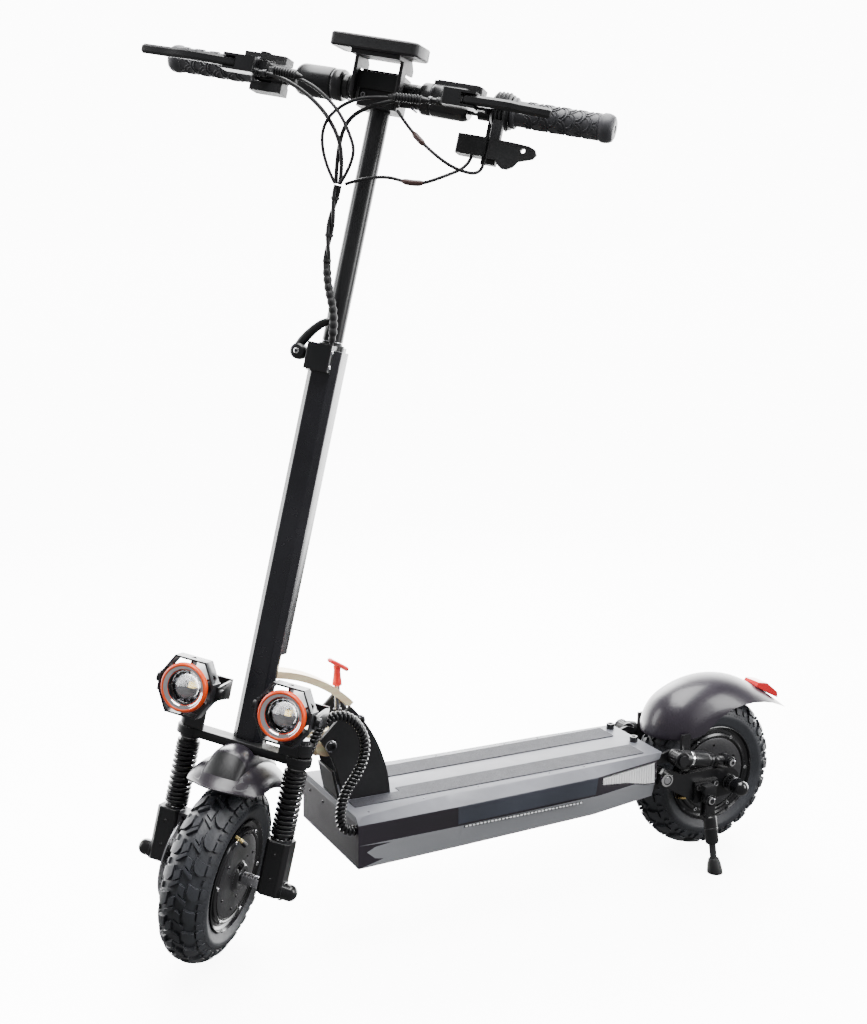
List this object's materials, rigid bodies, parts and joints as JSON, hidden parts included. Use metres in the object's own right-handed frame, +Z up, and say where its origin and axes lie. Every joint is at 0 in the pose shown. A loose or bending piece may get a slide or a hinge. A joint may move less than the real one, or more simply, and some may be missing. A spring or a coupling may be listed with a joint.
{
  "type": "electric kick scooter",
  "caption": "Folding electric kick scooter with knobbly air tyres, sprung fork, swing arm with shocks, ring-lit headlamps, narrow deck, telescopic stem, turned handlebar and side stand.",
  "frame": {"origin": "on the floor under the middle of the overall box, on the deck's centre plane", "axes": "+X to the rider's left, -Y forwards, +Z up; the handlebar and front wheel are turned about 46 degrees to the left"},
  "size_m": [0.4566, 1.0879, 1.2322],
  "materials": {
    "deck_grey": "satin",
    "deck_top": "satin",
    "grip_tape": "rough",
    "black_metal": "satin",
    "black_alloy": "satin",
    "bare_metal": "brushed",
    "steel": "satin",
    "chrome": "polished",
    "red_plastic": "gloss",
    "orange": "satin",
    "lens": "clear",
    "red_lens": "gloss",
    "white_lamp": "gloss",
    "black_plastic": "matte",
    "gloss_black": "gloss",
    "rubber": "matte",
    "tyre": "matte",
    "fender": "satin",
    "cell": "matte",
    "hub": "satin"
  },
  "bodies": {
    "deck": {"deck_shell": "deck_grey", "deck_lid": "deck_top", "rear_bracket": "black_metal", "grip_strips": "grip_tape", "battery_pack": "cell", "motor_controller": "steel", "led_strips": "white_lamp", "side_lamps": "white_lamp", "neck_plates": "black_metal", "deck_bolts": "steel", "neck_harness": "black_plastic"},
    "neck": {"neck_arm": "bare_metal", "headset_bearings": "steel"},
    "latch": {"latch_handle": "red_plastic"},
    "steering": {"fork_crown": "black_alloy", "stem_tube": "black_alloy", "stem_collar": "black_alloy", "stanchions": "steel", "headlight_brackets": "black_metal", "front_fender": "fender", "fork_springs": "steel"},
    "lower_fork": {"fork_legs": "black_alloy", "front_axle": "steel"},
    "front_wheel": {"front_tyre": "tyre", "front_hub": "hub", "front_disc": "steel"},
    "headlights": {"headlight_housings": "black_metal", "headlight_rings": "orange", "headlight_lenses": "lens"},
    "collar_lever": {"qr_lever": "black_metal"},
    "post": {"post_tube": "black_alloy", "bar_clamp": "black_alloy", "display_bracket": "black_plastic", "display_unit": "black_plastic", "display_glass": "gloss_black", "brake_cables": "rubber", "control_wires": "rubber"},
    "left_bar": {"bar_left": "black_alloy", "grip_left": "rubber", "perch_left": "black_metal", "left_controls": "black_plastic"},
    "right_bar": {"bar_right": "black_alloy", "grip_right": "rubber", "perch_right": "black_metal", "right_controls": "black_plastic"},
    "left_lever": {"lever_left": "black_metal"},
    "right_lever": {"lever_right": "black_metal"},
    "throttle": {"throttle_paddle": "black_plastic"},
    "horn": {"horn_button": "red_plastic"},
    "mode": {"mode_button": "black_plastic"},
    "swing": {"swing_arm": "black_alloy", "rear_axle": "steel", "rear_fender": "fender", "tail_light": "red_lens"},
    "shock_body": {"shock_bodies": "black_metal"},
    "shock_rod": {"shock_rods": "chrome"},
    "rear_wheel": {"rear_tyre": "tyre", "rear_hub": "hub", "rear_disc": "steel"},
    "stand": {"kickstand": "black_metal"}
  },
  "joints": [
    {"name": "neck_fold", "type": "hinge", "parent": "deck", "child": "neck", "pos_m": [0, -0.2755, 0.281], "axis": [-1, 0, 0], "range_deg": [0, 77], "deforming": ["neck_harness"]},
    {"name": "latch_pull", "type": "slide", "parent": "neck", "child": "latch", "axis": [0, 0, 1], "range_m": [0, 0.009], "stiffness_N_per_m": 400, "springref_m": -0.02},
    {"name": "steer", "type": "hinge", "parent": "neck", "child": "steering", "pos_m": [0, -0.36621, 0.36073], "axis": [0, 0.2224, 0.975], "range_deg": [-104, 13]},
    {"name": "headlight_tilt", "type": "hinge", "parent": "steering", "child": "headlights", "pos_m": [0.05368, -0.41639, 0.37628], "axis": [0.6984, 0.6978, -0.1592], "range_deg": [-9, 9]},
    {"name": "fork_slide", "type": "slide", "parent": "steering", "child": "lower_fork", "axis": [0, 0.2224, 0.975], "range_m": [0, 0.025], "stiffness_N_per_m": 9000, "springref_m": -0.035, "deforming": ["fork_springs"]},
    {"name": "front_spin", "type": "hinge", "parent": "lower_fork", "child": "front_wheel", "pos_m": [0.01861, -0.43842, 0.12583], "axis": [0.6984, 0.6978, -0.1592], "continuous": true},
    {"name": "collar_lever_turn", "type": "hinge", "parent": "steering", "child": "collar_lever", "pos_m": [-0.00976, -0.30164, 0.82398], "axis": [0.7157, -0.6809, 0.1553], "range_deg": [0, 150]},
    {"name": "post_slide", "type": "slide", "parent": "steering", "child": "post", "axis": [0, 0.2224, 0.975], "range_m": [-0.2, 0], "deforming": ["brake_cables", "control_wires"]},
    {"name": "left_bar_fold", "type": "hinge", "parent": "post", "child": "left_bar", "pos_m": [0.03227, -0.15528, 1.13676], "axis": [-0.7157, 0.6809, -0.1553], "range_deg": [0, 74], "deforming": ["brake_cables", "control_wires"]},
    {"name": "right_bar_fold", "type": "hinge", "parent": "post", "child": "right_bar", "pos_m": [-0.03227, -0.21975, 1.15146], "axis": [0.7157, -0.6809, 0.1553], "range_deg": [0, 74], "deforming": ["brake_cables", "control_wires"]},
    {"name": "left_brake", "type": "hinge", "parent": "left_bar", "child": "left_lever", "pos_m": [0.1244, -0.12283, 1.14423], "axis": [0, 0.2224, 0.975], "range_deg": [0, 8.5], "stiffness_Nm_per_rad": 3, "springref_deg": -8.59, "deforming": ["brake_cables", "control_wires"]},
    {"name": "right_brake", "type": "hinge", "parent": "right_bar", "child": "right_lever", "pos_m": [-0.10957, -0.35658, 1.19755], "axis": [0, -0.2224, -0.975], "range_deg": [0, 8.5], "stiffness_Nm_per_rad": 3, "springref_deg": -8.59, "deforming": ["brake_cables", "control_wires"]},
    {"name": "throttle_pull", "type": "hinge", "parent": "left_bar", "child": "throttle", "pos_m": [0.12596, -0.08956, 1.0833], "axis": [0, 0.2224, 0.975], "range_deg": [0, 25], "stiffness_Nm_per_rad": 0.4, "springref_deg": -11.46},
    {"name": "horn_press", "type": "slide", "parent": "left_bar", "child": "horn", "axis": [0.7157, -0.6809, 0.1553], "range_m": [0, 0.002], "stiffness_N_per_m": 600, "springref_m": -0.002},
    {"name": "mode_press", "type": "slide", "parent": "right_bar", "child": "mode", "axis": [0, -0.2224, -0.975], "range_m": [0, 0.002], "stiffness_N_per_m": 600, "springref_m": -0.002},
    {"name": "swing_arm_turn", "type": "hinge", "parent": "deck", "child": "swing", "pos_m": [0, 0.268, 0.153], "axis": [1, 0, 0], "range_deg": [0, 6], "stiffness_Nm_per_rad": 320, "springref_deg": -6.88},
    {"name": "shock_turn", "type": "hinge", "parent": "deck", "child": "shock_body", "pos_m": [0, 0.29, 0.184], "axis": [1, 0, 0], "range_deg": [0, 8]},
    {"name": "shock_rod_slide", "type": "slide", "parent": "shock_body", "child": "shock_rod", "axis": [0, 0.9822, -0.1881], "range_m": [-0.006, 0]},
    {"name": "rear_spin", "type": "hinge", "parent": "swing", "child": "rear_wheel", "pos_m": [0, 0.3925, 0.127], "axis": [1, 0, 0], "continuous": true},
    {"name": "kickstand_fold", "type": "hinge", "parent": "swing", "child": "stand", "pos_m": [0.086, 0.342, 0.112], "axis": [-1, 0, 0], "range_deg": [0, 90]}
  ],
  "couplings": [
    {"joint": "shock_turn", "follows": "swing_arm_turn", "ratio": 1.18},
    {"joint": "shock_rod_slide", "follows": "swing_arm_turn", "m_per_rad": -0.0337}
  ]
}
